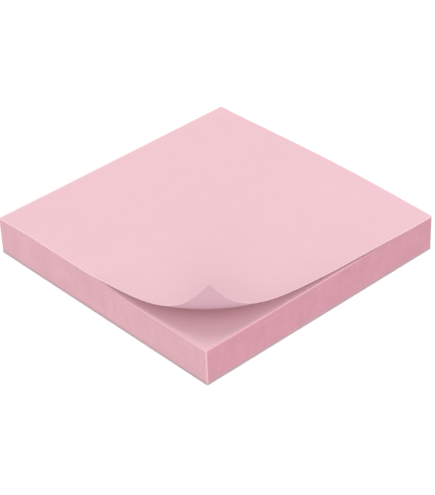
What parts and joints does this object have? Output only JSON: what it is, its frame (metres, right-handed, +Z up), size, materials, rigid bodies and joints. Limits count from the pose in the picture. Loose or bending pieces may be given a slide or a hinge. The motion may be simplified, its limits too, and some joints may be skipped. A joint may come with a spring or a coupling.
{
  "type": "sticky note pad",
  "caption": "Square pad of plain pink sticky notes, glued along its back edge and lying flat, with a free corner of the top note curling up.",
  "frame": {"origin": "middle of the pad's underside, on the surface that it lies on", "axes": "+Z up, square to the notes; the glued edge faces +Y; the curled corner of the top note is the one at -X, -Y"},
  "size_m": [0.076, 0.076, 0.0223],
  "materials": {
    "note_paper": "uncoated, matt, dyed pale pink through the sheet",
    "backing_paper": "uncoated, matt card, pinkish grey"
  },
  "bodies": {
    "root": {"note_block": "note_paper", "top_note": "note_paper", "backing_sheet": "backing_paper"}
  },
  "joints": []
}
